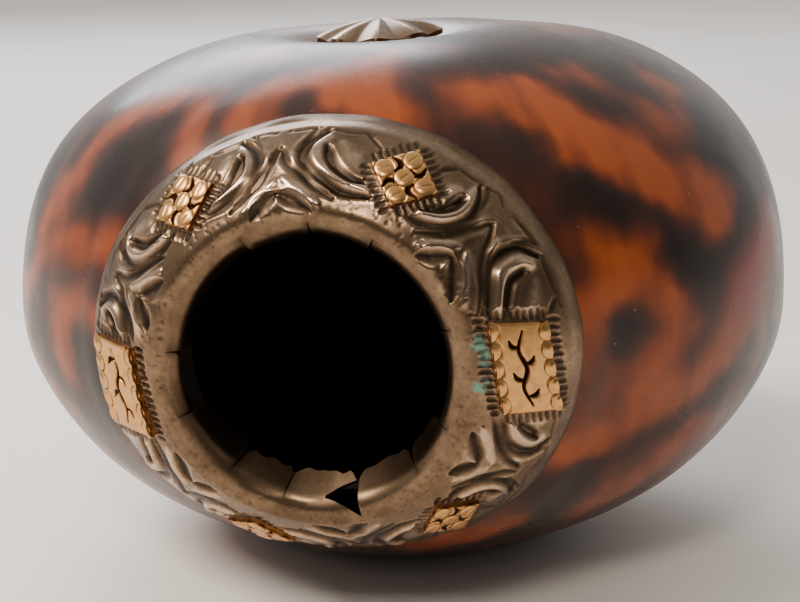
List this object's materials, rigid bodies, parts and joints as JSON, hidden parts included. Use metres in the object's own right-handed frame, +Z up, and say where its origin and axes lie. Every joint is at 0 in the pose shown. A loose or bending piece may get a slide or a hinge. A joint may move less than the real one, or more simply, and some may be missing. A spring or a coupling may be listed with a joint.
{
  "type": "mate gourd",
  "caption": "Flat hollow drinking gourd lying on its side, with a chased nickel-silver mouth collar, gold plaques and a rosette cap on the stem scar.",
  "frame": {"origin": "on the table, under the middle of the whole part's box", "axes": "+Z up along the gourd's stem axis, mouth towards -Y, +X to the right seen from the mouth"},
  "size_m": [0.12, 0.1218, 0.0819],
  "materials": {
    "gourd": "dried gourd, scorched in dark flames, polished",
    "collar_silver": "chased nickel silver, tarnished in the grooves",
    "plaque_gold": "chased rose gold",
    "cap_silver": "dull nickel silver",
    "pin": "dark strip"
  },
  "bodies": {
    "root": {"gourd_shell": "gourd", "mouth_collar": "collar_silver", "long_plaque_right": "plaque_gold", "long_plaque_left": "plaque_gold", "flower_plaque_upper_right": "plaque_gold", "flower_plaque_upper_left": "plaque_gold", "flower_plaque_lower_left": "plaque_gold", "flower_plaque_lower_right": "plaque_gold", "stem_cap": "cap_silver", "stem_cap_pin": "pin"}
  },
  "joints": []
}
